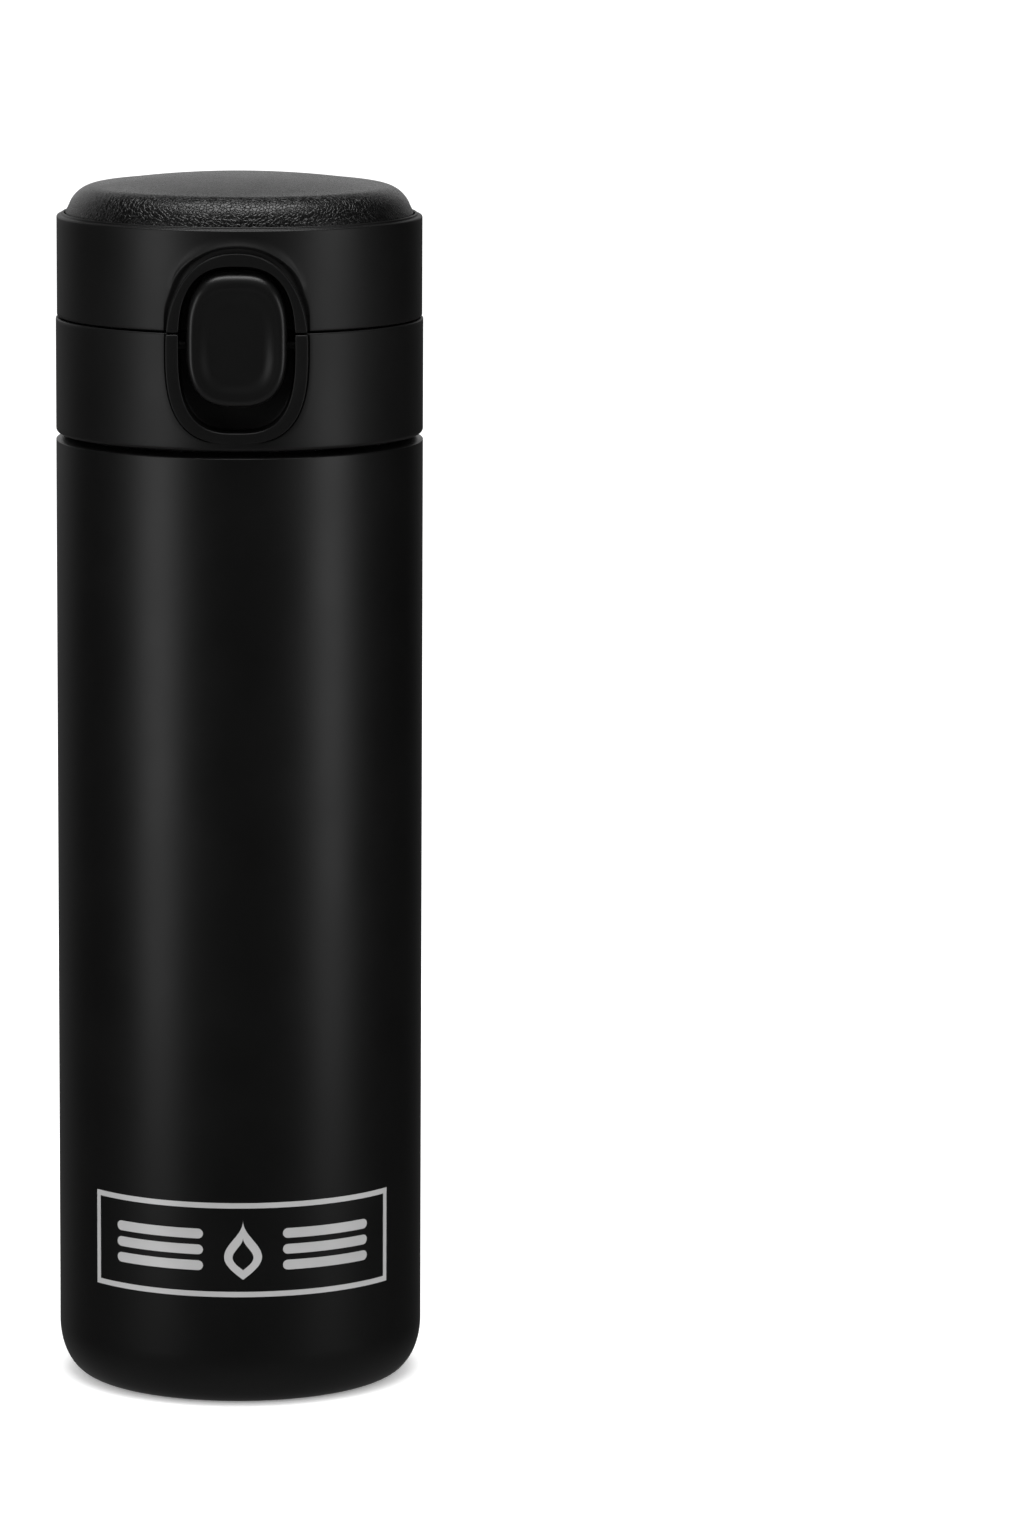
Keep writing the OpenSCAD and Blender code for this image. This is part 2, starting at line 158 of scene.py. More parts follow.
def rounded(points, radius, n):
    """A closed polygon with its corners rounded."""
    count = len(points)
    out = []
    for i, p in enumerate(points):
        here = Vector(p)
        a = Vector(points[i - 1]) - here
        b = Vector(points[(i + 1) % count]) - here
        half = a.angle(b) / 2
        cut = min(radius / math.tan(half), 0.45 * a.length, 0.45 * b.length)
        r = cut * math.tan(half)
        start, end = here + a.normalized() * cut, here + b.normalized() * cut
        centre = here + (a.normalized() + b.normalized()).normalized() * (r / math.sin(half))
        v0, v1 = start - centre, end - centre
        turn = v0.angle(v1)
        for k in range(n + 1):
            t = k / n
            v = (v0 * math.sin((1 - t) * turn) + v1 * math.sin(t * turn)) / math.sin(turn)
            out.append(tuple(centre + v))
    return out


def lathe(section, steps=192, closed=False):
    """Points and faces of a section turned about Z. Points on the axis make one vertex."""
    verts, faces, rings = [], [], []
    for r, z in section:
        if r < 1e-6:
            rings.append([len(verts)] * steps)
            verts.append((0, 0, z))
        else:
            rings.append(list(range(len(verts), len(verts) + steps)))
            for k in range(steps):
                a = 2 * math.pi * k / steps
                verts.append((r * math.sin(a), -r * math.cos(a), z))
    pairs = list(zip(rings, rings[1:])) + ([(rings[-1], rings[0])] if closed else [])
    for lower, upper in pairs:
        for k in range(steps):
            j = (k + 1) % steps
            face = []
            for v in (lower[k], lower[j], upper[j], upper[k]):
                if v not in face:
                    face.append(v)
            if len(face) > 2:
                faces.append(face)
    return verts, faces


def loft(rows, closed=False, capped=False):
    """Points and faces of a sheet through rows of the same number of points."""
    verts = [p for row in rows for p in row]
    n = len(rows[0])
    faces = []
    for i in range(len(rows) - 1):
        for j in range(n if closed else n - 1):
            k = (j + 1) % n
            faces.append((i * n + j, i * n + k, (i + 1) * n + k, (i + 1) * n + j))
    if capped:
        faces.append(list(range(n))[::-1])
        faces.append([(len(rows) - 1) * n + k for k in range(n)])
    return verts, faces


def joined(*parts):
    """Several (points, faces) as one."""
    verts, faces = [], []
    for v, f in parts:
        base = len(verts)
        verts += v
        faces += [[base + i for i in face] for face in f]
    return verts, faces


def screw_ridge(section, z, turns, turn0, pitch, lead=0.12, per_turn=72):
    """A thread: a section of (radius, height) points swept up a helix, which fades in and out."""
    steps = round(turns * per_turn)
    base = section[0][0]
    rows = []
    for i in range(steps + 1):
        u = turns * i / steps
        a = 2 * math.pi * (turn0 + u)
        fade = min(1, 0.04 + 0.96 * math.sin(min(1, min(u, turns - u) / lead) * math.pi / 2))
        h = z + pitch * (turn0 + u)
        ring = [(base + (r - base) * fade, h + dz) for r, dz in section]
        rows.append([(r * math.cos(a), r * math.sin(a), height) for r, height in ring])
    return loft(rows, closed=True, capped=True)


def extruded(outline, x0, x1, edge=0.3):
    """A side view in Y and Z given width along X, with softened ends."""
    rows = []
    for x, inset in ((x0, edge), (x0 + 0.3 * edge, 0.3 * edge), (x0 + edge, 0),
                     (x1 - edge, 0), (x1 - 0.3 * edge, 0.3 * edge), (x1, edge)):
        rows.append([(x, y, z) for y, z in inset_polygon(outline, inset)])
    return loft(rows, closed=True, capped=True)


def inset_polygon(points, d):
    """A polygon with each point moved inwards by d along the mean of its two sides' normals."""
    if d == 0:
        return list(points)
    n = len(points)
    area = sum(points[i - 1][0] * points[i][1] - points[i][0] * points[i - 1][1] for i in range(n))
    sign = 1 if area > 0 else -1
    out = []
    for i in range(n):
        before, here, after = (Vector(points[(i + k) % n]) for k in (-1, 0, 1))
        a, b = (here - before).normalized(), (after - here).normalized()
        na, nb = Vector((-a.y, a.x)) * sign, Vector((-b.y, b.x)) * sign
        m = na + nb
        scale = d * 2 / max(m.length_squared, 0.6)
        out.append(tuple(here + m * scale))
    return out


def sin_cos(degrees):
    return math.sin(math.radians(degrees)), math.cos(math.radians(degrees))


def smoothstep(u):
    """Rises smoothly from 0 to 1 as u goes from 0 to 1."""
    u = max(0.0, min(1.0, u))
    return u * u * (3 - 2 * u)


# ---------------------------------------------------------------- the oval surround

def oval_points(w, z0, z1, mid, top, base, count=720):
    """Closed outline of an upright oval in X and Z, from its right side upwards. mid is the share
    of its height where it is widest. top and base say how square its ends are: 2 is round."""
    zm = z0 + (z1 - z0) * mid
    out = []
    for i in range(count):
        a = 2 * math.pi * i / count
        c, s = math.cos(a), math.sin(a)
        p = 2 / (base if s < 0 else top)
        out.append((
            math.copysign(w / 2 * abs(c) ** p, c),
            zm + math.copysign(((zm - z0) if s < 0 else (z1 - zm)) * abs(s) ** p, s),
        ))
    return out


def offset_outline(points, d):
    """A closed outline moved outwards by d, a number or a function of the height."""
    distance = d if callable(d) else lambda z: d
    n = len(points)
    out = []
    for i in range(n):
        tangent = Vector(points[(i + 2) % n]) - Vector(points[i - 2])
        if tangent.length < 1e-9:
            tangent = Vector((0, 1))
        tangent.normalize()
        step = distance(points[i][1])
        out.append((points[i][0] + step * tangent.y, points[i][1] - step * tangent.x))
    return out


def half_outline(points, z_cut, side, count):
    """The part of a closed outline above (side 1) or below (side -1) z_cut, as count + 1 points
    spaced evenly from its right end to its left end."""
    n = len(points)
    keep = [side * (p[1] - z_cut) > 0 for p in points]
    start = next(i for i in range(n) if keep[i] and not keep[i - 1])
    chain = []
    i = start
    while keep[i % n]:
        chain.append(points[i % n])
        i += 1
    before, after = points[start - 1], points[i % n]

    def cross(p, q):
        t = (z_cut - p[1]) / (q[1] - p[1])
        return (p[0] + (q[0] - p[0]) * t, z_cut)

    chain = [cross(before, chain[0])] + chain + [cross(chain[-1], after)]
    if chain[0][0] < chain[-1][0]:
        chain.reverse()
    dist = [0.0]
    for p, q in zip(chain, chain[1:]):
        dist.append(dist[-1] + math.dist(p, q))
    out, k = [], 0
    for j in range(count + 1):
        want = dist[-1] * j / count
        while k < len(dist) - 2 and dist[k + 1] < want:
            k += 1
        step = dist[k + 1] - dist[k]
        t = (want - dist[k]) / step if step > 0 else 0
        p, q = chain[k], chain[k + 1]
        out.append((p[0] + (q[0] - p[0]) * t, p[1] + (q[1] - p[1]) * t))
    return out


SURROUND = oval_points(25.1, 174.0, 207.5, 0.50, 2.2, 2.9)
WINDOW = oval_points(20.6, 175.8, 205.2, 0.52, 2.7, 2.9)
SURROUND_TOP = max(z for x, z in SURROUND)
FACE_EDGE = 0.25                 # rounding round the surround's face
WINDOW_EDGE = 0.18               # rounding round the window
PATCH_AZ = math.radians(31)      # half angle of the part of the wall around the surround
COLUMNS = 120                    # points along each half of the oval
SIDE_COLUMNS = 34                # of them, those along each upright side of that part
BACK_STEPS = 132                 # steps round the rest of the wall
NOTCH_STEPS = 28                 # of them, those across the rear notch
SEAM_ROUND = 0.28                # rounding along the seam
SEAM_ANGLES = (0, 30, 60, 90)    # of the rows round it
MOAT_SHARES = (1.0, 0.93, 0.86, 0.79, 0.72, 0.65, 0.58, 0.52, 0.47, 0.43, 0.39, 0.35, 0.31, 0.26,
               0.19, 0.1, 0.0)   # rows across the moat, from its lip to the surround
CLOSING_SHARES = (0.3, 0.6, 0.85)   # rows that close in on the wall or the pocket's middle


def cylinder_y(x, r):
    """Y of the front of a round wall of radius r."""
    return -math.sqrt(max(r * r - x * x, 0))


def side_heights(z_seam, z_far, z_notch, j_notch):
    """Heights of the points up an upright side, one of which is the top of the rear notch."""
    lower = [z_seam + (z_notch - z_seam) * j / j_notch for j in range(j_notch)]
    rest = SIDE_COLUMNS - j_notch
    return lower + [z_notch + (z_far - z_notch) * j / rest for j in range(rest + 1)]


def frame_outline(r, z_seam, z_far, z_notch, j_notch):
    """Right side, far edge and left side of the wall's part around the surround, from the seam."""
    mid = COLUMNS - 2 * SIDE_COLUMNS
    x1 = r * math.sin(PATCH_AZ)
    heights = side_heights(z_seam, z_far, z_notch, j_notch)
    far = [(r * math.sin(PATCH_AZ * (1 - 2 * k / mid)), z_far) for k in range(1, mid)]
    return [(x1, z) for z in heights] + far + [(-x1, z) for z in reversed(heights)]


def between(a, b, t):
    """The row at the share t of the way from row a to row b."""
    return [(p[0] + (q[0] - p[0]) * t, p[1] + (q[1] - p[1]) * t) for p, q in zip(a, b)]


def with_seam(rows, z_seam, side, into):
    """Rows with the rounded edge along the seam added at both ends. into is 1 where the material
    lies behind the sheet, and -1 where it lies in front."""
    out = []
    count = len(rows)
    for i, row in enumerate(rows):
        ends = []
        for end in (0, -1):
            here = Vector(row[end])
            prev = Vector(rows[max(i - 1, 0)][end])
            nxt = Vector(rows[min(i + 1, count - 1)][end])
            along = nxt - prev
            along.z = 0
            if along.length < 1e-9:
                along = Vector((-1, 0, 0)) if end == 0 else Vector((1, 0, 0))
            along.normalize()
            inward = Vector((along.y, -along.x, 0)) if end == 0 else Vector((-along.y, along.x, 0))
            if i == 0:      # where the rest of the wall joins
                inward = Vector((-here.x, -here.y, 0)).normalized()
            inward *= into
            points = []
            for a in SEAM_ANGLES[:-1]:
                s, c = sin_cos(a)
                p = here + inward * SEAM_ROUND * (1 - s)
                p.z = z_seam + side * SEAM_ROUND * (1 - c)
                points.append(tuple(p))
            ends.append(points)
        out.append(ends[0] + row + ends[1][::-1])
    return out


def moat_width(z, spread):
    """Width of the moat round the surround. If spread, it grows from the seam to the top."""
    if not spread:
        return 0.32
    h = (z - HINGE_Z) / (SURROUND_TOP - HINGE_Z)
    return 0.5 + 0.6 * smoothstep(h / 0.35) + 2.0 * smoothstep((h - 0.42) / 0.5)


def moat_depth(u, z, depth, spread):
    """Depth of the moat at the share u of its width. If spread, a soft swelling runs round it
    at the top of the lid."""
    if not spread:
        return depth * smoothstep(1 - u)
    h = (z - HINGE_Z) / (SURROUND_TOP - HINGE_Z)
    high_up = smoothstep((h - 0.5) / 0.5)
    lip = 1 - 0.56 * high_up
    swell = 0.5 * high_up * min(1, (1 - u) / max(1 - lip, 0.05)) ** 1.8
    floor = depth * (1 - 0.6 * high_up)
    return (floor + swell) * smoothstep((lip - u) / (lip * (1 - 0.5 * high_up))) - swell


def ring_profile(depth, wall_r, fade, spread):
    """Rows from the moat's outer lip over the surround's side wall to its flat face. The moat
    runs out where the wall comes within fade of the face."""

    def on_wall(x, d):
        share = 1.0
        if fade:
            share = smoothstep((cylinder_y(x, wall_r) - FACE_Y) / fade)
        return cylinder_y(x, wall_r) + d * share

    spec = []
    for u in MOAT_SHARES:
        shape = offset_outline(SURROUND, lambda z, u=u: u * moat_width(z, spread))
        spec.append((shape, lambda x, z, u=u: on_wall(x, moat_depth(u, z, depth, spread))))
    top = FACE_Y + FACE_EDGE
    for share in (0.35, 0.75, 1.0):
        spec.append((
            SURROUND,
            lambda x, z, s=share: min(on_wall(x, depth), on_wall(x, depth) * (1 - s) + top * s),
        ))
    for a in (25, 50, 70, 90):
        s, c = sin_cos(a)
        y = FACE_Y + FACE_EDGE * (1 - s)
        spec.append((
            offset_outline(SURROUND, -FACE_EDGE * (1 - c)),
            lambda x, z, y=y: max(FACE_Y, min(y, on_wall(x, depth))),
        ))
    return spec


def fillet_rows(outline, floor_y, radius, angles):
    """Rows round the fillet between an outline's side wall and a flat floor."""
    return [(offset_outline(outline, -radius * (1 - c)), lambda x, z, y=floor_y - radius * (1 - s): y)
            for s, c in (sin_cos(a) for a in angles)]


def window_profile(floor_y):
    """Rows from the surround's flat face over the window's edge to the middle of the pocket."""
    spec = [(offset_outline(WINDOW, WINDOW_EDGE), lambda x, z: FACE_Y)]
    for a in (25, 50, 75, 90):
        s, c = sin_cos(a)
        y = FACE_Y + WINDOW_EDGE * (1 - c)
        spec.append((offset_outline(WINDOW, WINDOW_EDGE * (1 - s)), lambda x, z, y=y: y))
    fillet = 0.5
    for y in (FACE_Y + 1.2, FACE_Y + 2.6, floor_y - fillet):
        spec.append((WINDOW, lambda x, z, y=y: y))
    return spec + fillet_rows(WINDOW, floor_y, fillet, (30, 60, 90))


def shrink_rows(outline, y, shares):
    """Rows that close the pocket's floor towards its middle."""
    return [(("shrink", outline, t), lambda x, z, y=y: y) for t in shares]


def sheet_rows(spec, r, z_seam, z_far, side, z_notch, j_notch, into):
    """Rows of 3-D points from the wall to the middle of the pocket, seam rounding included."""
    edge = z_seam + side * SEAM_ROUND
    frame_row = frame_outline(r, edge, z_far, z_notch, j_notch)
    rows = []
    for shape, y_of in spec:
        if shape == "frame":
            flat = frame_row
        elif isinstance(shape, tuple) and shape[0] == "blend":
            flat = between(frame_row, half_outline(shape[1], edge, side, COLUMNS), shape[2])
        elif isinstance(shape, tuple) and shape[0] == "shrink":
            flat = half_outline(shape[1], edge, side, COLUMNS)
            flat = between(flat, [(0, edge)] * len(flat), shape[2])
        else:
            flat = half_outline(shape, edge, side, COLUMNS)
        rows.append([(x, y_of(x, z), z) for x, z in flat])
    return with_seam(rows, z_seam, side, into)


def back_azimuths(notch_az):
    """Angles from the right end of the surround's part round the back to its left end."""
    side = (BACK_STEPS - NOTCH_STEPS) // 2
    a0, a1 = PATCH_AZ, math.pi - notch_az
    right = [a0 + (a1 - a0) * k / side for k in range(side)]
    notch = [a1 + 2 * notch_az * k / NOTCH_STEPS for k in range(NOTCH_STEPS)]
    left = [2 * math.pi - a for a in reversed(right)]
    return right + notch + [2 * math.pi - a1] + left


def wall_sheet(rows, notch_az, j_skip):
    """The rest of the wall, behind the surround's part, with a notch at the rear left open.
    Returns its points, its faces, its grid of points and the notch's first column."""
    column = rows[0][:SIDE_COLUMNS + len(SEAM_ANGLES)]
    profile = [(math.hypot(x, y), z) for x, y, z in column]
    azimuths = back_azimuths(notch_az)
    grid = [[(r * math.sin(a), -r * math.cos(a), z) for a in azimuths] for r, z in profile]
    first = (BACK_STEPS - NOTCH_STEPS) // 2
    verts = [p for row in grid for p in row]
    n = len(azimuths)
    faces = []
    for i in range(len(grid) - 1):
        for k in range(n - 1):
            if i < j_skip and first <= k < first + NOTCH_STEPS:
                continue
            faces.append((i * n + k, i * n + k + 1, (i + 1) * n + k + 1, (i + 1) * n + k))
    return verts, faces, grid, first


def band(profile, notch_az):
    """Full rings above or below the walls, with the same columns as the walls."""
    mid = COLUMNS - 2 * SIDE_COLUMNS
    azimuths = [-PATCH_AZ + 2 * PATCH_AZ * k / mid for k in range(mid)]
    azimuths += back_azimuths(notch_az)[:-1]
    rows = []
    for r, z in profile:
        rows.append([(r * math.sin(a), -r * math.cos(a), z) for a in azimuths])
    return loft(rows, closed=True)


def half_moulding(outer_spec, inner_spec, r_out, r_in, z_seam, side, z_far_out, z_far_in,
                  z_notch, j_notch, notch_x, far_profiles):
    """One half of the collar-and-lid wall: outer and inner sheets joined at the seam, round the
    rear notch and by the rings of each of far_profiles."""
    assert len(outer_spec) == len(inner_spec)
    notch_az = math.asin(notch_x / ((r_out + r_in) / 2))
    outer = sheet_rows(outer_spec, r_out, z_seam, z_far_out, side, z_notch, j_notch, 1)
    inner = sheet_rows(inner_spec, r_in, z_seam, z_far_in, side, z_notch, j_notch, -1)
    j_skip = j_notch + len(SEAM_ANGLES) - 1
    verts_out, faces_out, grid_out, first = wall_sheet(outer, notch_az, j_skip)
    verts_in, faces_in, grid_in, first = wall_sheet(inner, notch_az, j_skip)
    last = first + NOTCH_STEPS
    parts = [loft(outer), loft(inner), (verts_out, faces_out), (verts_in, faces_in)]
    # seam faces under the front part and under the rest of the wall
    for end in (0, -1):
        parts.append(loft([[row[end] for row in outer], [row[end] for row in inner]]))
    for part in (slice(0, first + 1), slice(last, None)):
        parts.append(loft([grid_out[0][part], grid_in[0][part]]))
    # faces round the rear notch
    for k in (first, last):
        parts.append(loft([[grid[i][k] for i in range(j_skip + 1)] for grid in (grid_out, grid_in)]))
    parts.append(loft([grid[j_skip][first:last + 1] for grid in (grid_out, grid_in)]))
    parts += [band(profile, notch_az) for profile in far_profiles]
    return joined(*parts)


def blend_rows(outline, r, shares):
    """Rows on a round wall, from the edge of the surround's part towards an outline."""
    return [(("blend", outline, t), lambda x, z: cylinder_y(x, r)) for t in shares]


def inner_profile(r, back_y, count_wall, count_rest):
    """Rows of the inner sheet, with the pocket's box standing out of it."""
    box = offset_outline(WINDOW, 1.0)
    fillet = 0.4
    spec = [("frame", lambda x, z: cylinder_y(x, r))]
    spec += blend_rows(box, r, [k / (count_wall - 2) for k in range(1, count_wall - 2)])
    spec.append((box, lambda x, z: cylinder_y(x, r)))
    for k in range(1, count_rest - 6):
        t = k / (count_rest - 6)
        spec.append((box, lambda x, z, t=t: cylinder_y(x, r) * (1 - t) + (back_y - fillet) * t))
    return spec + fillet_rows(box, back_y, fillet, (0, 45, 90))


def moulding_specs(r_out, r_in, depth, fade, spread, floor_y):
    """Matching rows for the outer and the inner sheet of one half."""
    ring = ring_profile(depth, r_out, fade, spread)
    pocket = window_profile(floor_y)
    outer = [("frame", lambda x, z: cylinder_y(x, r_out))]
    lip = offset_outline(SURROUND, lambda z: moat_width(z, spread))
    outer += blend_rows(lip, r_out, CLOSING_SHARES)
    outer += ring + pocket
    inset = offset_outline(WINDOW, -0.5)
    outer += shrink_rows(inset, floor_y, CLOSING_SHARES + (1.0,))
    wall_rows = 1 + len(CLOSING_SHARES) + len(ring)
    total = len(outer)
    back_y = floor_y + MOULDED_T
    inner = inner_profile(r_in, back_y, wall_rows, total - wall_rows)
    box = offset_outline(WINDOW, 0.6)
    missing = total - len(inner)
    shares = [(k + 1) / missing for k in range(missing)]
    inner += shrink_rows(box, back_y, shares)
    return outer, inner


# ---------------------------------------------------------------- materials

def nodes_of(mat):
    """The nodes, the links and the main shader of a new material."""
    mat.use_nodes = True
    tree = mat.node_tree
    return tree.nodes, tree.links, tree.nodes["Principled BSDF"]


def noise(nodes, links, scale, detail=2.0, stretch=(1, 1, 1)):
    """A noise value in the object's own coordinates, with scale in cells per metre."""
    coords = nodes.new("ShaderNodeTexCoord")
    mapping = nodes.new("ShaderNodeMapping")
    mapping.inputs["Scale"].default_value = stretch
    links.new(coords.outputs["Object"], mapping.inputs["Vector"])
    tex = nodes.new("ShaderNodeTexNoise")
    tex.inputs["Scale"].default_value = scale
    tex.inputs["Detail"].default_value = detail
    tex.inputs["Roughness"].default_value = 0.5
    links.new(mapping.outputs["Vector"], tex.inputs["Vector"])
    return tex.outputs["Fac"]


def span_of(nodes, links, value, low_out, high_out, low_in=0.3, high_in=0.7):
    """A value mapped from one range to another."""
    m = nodes.new("ShaderNodeMapRange")
    m.inputs["From Min"].default_value = low_in
    m.inputs["From Max"].default_value = high_in
    m.inputs["To Min"].default_value = low_out
    m.inputs["To Max"].default_value = high_out
    links.new(value, m.inputs["Value"])
    return m.outputs["Result"]


def bumped(nodes, links, bsdf, layers):
    """Chains bump layers of (height socket, distance in metres)."""
    normal = None
    for height, distance in layers:
        b = nodes.new("ShaderNodeBump")
        b.inputs["Strength"].default_value = 1.0
        b.inputs["Distance"].default_value = distance
        links.new(height, b.inputs["Height"])
        if normal:
            links.new(normal, b.inputs["Normal"])
        normal = b.outputs["Normal"]
    links.new(normal, bsdf.inputs["Normal"])


def tinted(nodes, links, bsdf, value, dark, light):
    """A base colour that varies between dark and light with a value."""
    ramp = nodes.new("ShaderNodeValToRGB")
    ramp.color_ramp.elements[0].position = 0.3
    ramp.color_ramp.elements[0].color = (*dark, 1)
    ramp.color_ramp.elements[1].position = 0.7
    ramp.color_ramp.elements[1].color = (*light, 1)
    links.new(value, ramp.inputs["Fac"])
    links.new(ramp.outputs["Color"], bsdf.inputs["Base Color"])


def grey(v, warm=0.0):
    """A grey of the given lightness, tinted towards red if warm."""
    return (v * (1 + warm), v, v * (1 - warm))


def finish_material(name, dark, light, rough, grain, metallic=0.0, ior=1.5, stretch=(1, 1, 1),
                    sheen=0.0):
    """rough is (least, most); grain is a list of (noise scale, distance in metres)."""
    mat = bpy.data.materials.new(name)
    nodes, links, bsdf = nodes_of(mat)
    bsdf.inputs["Metallic"].default_value = metallic
    bsdf.inputs["IOR"].default_value = ior
    bsdf.inputs["Sheen Weight"].default_value = sheen
    patches = noise(nodes, links, 60.0, 3.0)
    tinted(nodes, links, bsdf, patches, dark, light)
    links.new(span_of(nodes, links, patches, *rough), bsdf.inputs["Roughness"])
    bumped(nodes, links, bsdf, [(noise(nodes, links, s, 2.0, stretch), d) for s, d in grain])
    return mat


def leather_material(name, dark, light, rough):
    """Moulded leather grain: small rounded cells between fine grooves."""
    mat = bpy.data.materials.new(name)
    nodes, links, bsdf = nodes_of(mat)
    coords = nodes.new("ShaderNodeTexCoord")
    cells = nodes.new("ShaderNodeTexVoronoi")
    cells.feature = "DISTANCE_TO_EDGE"
    cells.inputs["Scale"].default_value = 1600.0
    warp = nodes.new("ShaderNodeTexNoise")
    warp.inputs["Scale"].default_value = 700.0
    mix = nodes.new("ShaderNodeVectorMath")
    mix.operation = "MULTIPLY_ADD"
    mix.inputs[1].default_value = (0.0009, 0.0009, 0.0009)
    links.new(coords.outputs["Object"], warp.inputs["Vector"])
    links.new(warp.outputs["Color"], mix.inputs[0])
    links.new(coords.outputs["Object"], mix.inputs[2])
    links.new(mix.outputs["Vector"], cells.inputs["Vector"])
    height = span_of(nodes, links, cells.outputs["Distance"], 0.0, 1.0, 0.0, 0.16)
    fine = noise(nodes, links, 3800.0, 2.0)
    patches = noise(nodes, links, 70.0, 3.0)
    tinted(nodes, links, bsdf, patches, dark, light)
    links.new(span_of(nodes, links, patches, *rough), bsdf.inputs["Roughness"])
    bumped(nodes, links, bsdf, [(height, 0.000048), (fine, 0.000012)])
    return mat


COAT = finish_material("powder_coat_black", grey(0.0015), grey(0.0019), (0.37, 0.41),
                       [(2100.0, 0.0000060)])
SHELL = finish_material("moulded_black", grey(0.0015), grey(0.0020), (0.43, 0.48),
                        [(2600.0, 0.0000050), (900.0, 0.0000030)])
BUTTON = finish_material("button_black", grey(0.0028), grey(0.0034), (0.31, 0.35),
                         [(2600.0, 0.0000040)])
CROWN = leather_material("grained_black", grey(0.0018), grey(0.0024), (0.29, 0.34))
INNER = finish_material("inner_black", grey(0.010), grey(0.013), (0.42, 0.50),
                        [(1800.0, 0.0000050)])
STEEL = finish_material("spun_steel", grey(0.52, 0.01), grey(0.60, 0.01), (0.22, 0.32),
                        [(260.0, 0.0000040)], metallic=1.0, stretch=(1, 1, 30))
SPRING = finish_material("spring_steel", grey(0.42, 0.01), grey(0.50, 0.01), (0.24, 0.34),
                         [(900.0, 0.0000030)], metallic=1.0)
COPPER = finish_material("copper_foil", (0.62, 0.31, 0.18), (0.74, 0.40, 0.25), (0.26, 0.38),
                         [(140.0, 0.00006), (700.0, 0.00001)], metallic=1.0)
# The button pin is near black to paint the shade of the gap it sits in: painted shade, not a
# blackened finish.
PIN_PAINTED_SHADE = finish_material("pin_painted_shade_black", grey(0.0010), grey(0.0014), (0.55, 0.62),
                           [(900.0, 0.0000030)])
GETTER = finish_material("getter_metal", grey(0.30, 0.02), grey(0.40, 0.02), (0.45, 0.60),
                         [(1500.0, 0.00001)], metallic=1.0)
GLASS = finish_material("solder_glass", grey(0.015), grey(0.03), (0.12, 0.22),
                        [(900.0, 0.00001)])
SILICONE = finish_material("silicone_white", grey(0.36), grey(0.41), (0.46, 0.56),
                           [(1200.0, 0.000004)], ior=1.41, sheen=0.15)
PRINT = finish_material("silver_print", grey(0.62), grey(0.70), (0.28, 0.34),
                        [(2400.0, 0.0000040)], metallic=0.62)


# ---------------------------------------------------------------- the steel flask

def outer_shell():
    """Body wall, shoulder and neck with its thread. The coat ends where the collar covers it."""
    top = NECK_TOP - VESSEL_T
    out = [(BODY_R, FOOT_H)] + arc(BODY_R - 0.1, BODY_H - 0.9, 0.1, 0, 65, 4)
    out += arc(BODY_R - 2.4, BODY_H - 1, 1, 65, 90, 5)
    out += arc(NECK_R + NECK_FILLET, BODY_H + NECK_FILLET, NECK_FILLET, 270, 180, 8) + [(NECK_R, top)]
    inside = [(BODY_R - OUTER_T, FOOT_H)] + arc(BODY_R - 1, BODY_H - 1, 1 - OUTER_T, 0, 90, 6)
    inside += arc(NECK_R + NECK_FILLET, BODY_H + NECK_FILLET, NECK_FILLET + OUTER_T, 270, 180, 6)
    inside += [(NECK_R - OUTER_T, top)]
    wall = lathe(out + inside[::-1], 256, closed=True)
    half_ridge = [(-0.2, 1.25), (0.25, 1.05), (0.8, 0.72), (1.1, 0.42)]
    ridge = [(NECK_R + r, -z) for r, z in half_ridge] + [(NECK_R + 1.2, 0.0)]
    ridge += [(NECK_R + r, z) for r, z in half_ridge[::-1]]
    thread = screw_ridge(ridge, BODY_H + 4.4, 1.75, 0, PITCH)
    shell = mesh_object("flask_outer_shell", *joined(wall, thread), "flask", "powder_coat",
                        [COAT, STEEL], ["outer_shell"])
    for f in shell.data.polygons:
        r, z = math.hypot(f.center.x, f.center.y) / MM, f.center.z / MM
        f.material_index = 1 if z > BODY_H - 0.02 and r < BODY_R - 2.2 else 0


def outer_bottom():
    """Pressed cup with the curved foot and the rounded lip that the flask stands on."""

    def side(t, count):
        angles = (math.pi / 2 * k / count for k in range(count + 1))
        return [(BODY_R - FOOT_CURVE + (FOOT_CURVE - t) * math.sin(a),
                 FOOT_H - (FOOT_H - t) * math.cos(a)) for a in angles]

    lip, lip_r, floor_z = BODY_R - 8, 0.8, 1.9
    out = [(0, floor_z), (lip, floor_z)] + arc(lip + lip_r, lip_r, lip_r, 180, 270, 6) + side(0, 24)
    inside = [(0, floor_z + OUTER_T), (lip + OUTER_T, floor_z + OUTER_T)]
    inside += arc(lip + lip_r, lip_r, lip_r - OUTER_T, 180, 270, 4) + side(OUTER_T, 16)
    mesh_object("flask_outer_bottom", *lathe(out + inside[::-1], 256), "flask", "powder_coat", COAT,
                ["outer_bottom"], 60)


def base_cover():
    """Thin disc with a pressed groove and a rolled rim."""
    section = [(0, 0.5), (15.6, 0.5), (16.1, 0.6), (16.6, 0.88), (17.1, 0.95), (17.6, 0.88),
               (18.1, 0.45), (18.6, 0.32), (23.8, 0.3), (24.3, 0.45), (24.6, 0.8), (24.7, 1.1),
               (24.55, 1.3), (0, 1.3)]
    mesh_object("base_cover_disc", *lathe(section, 192), "flask", "bare_steel", STEEL,
                ["base_cover"], 30)


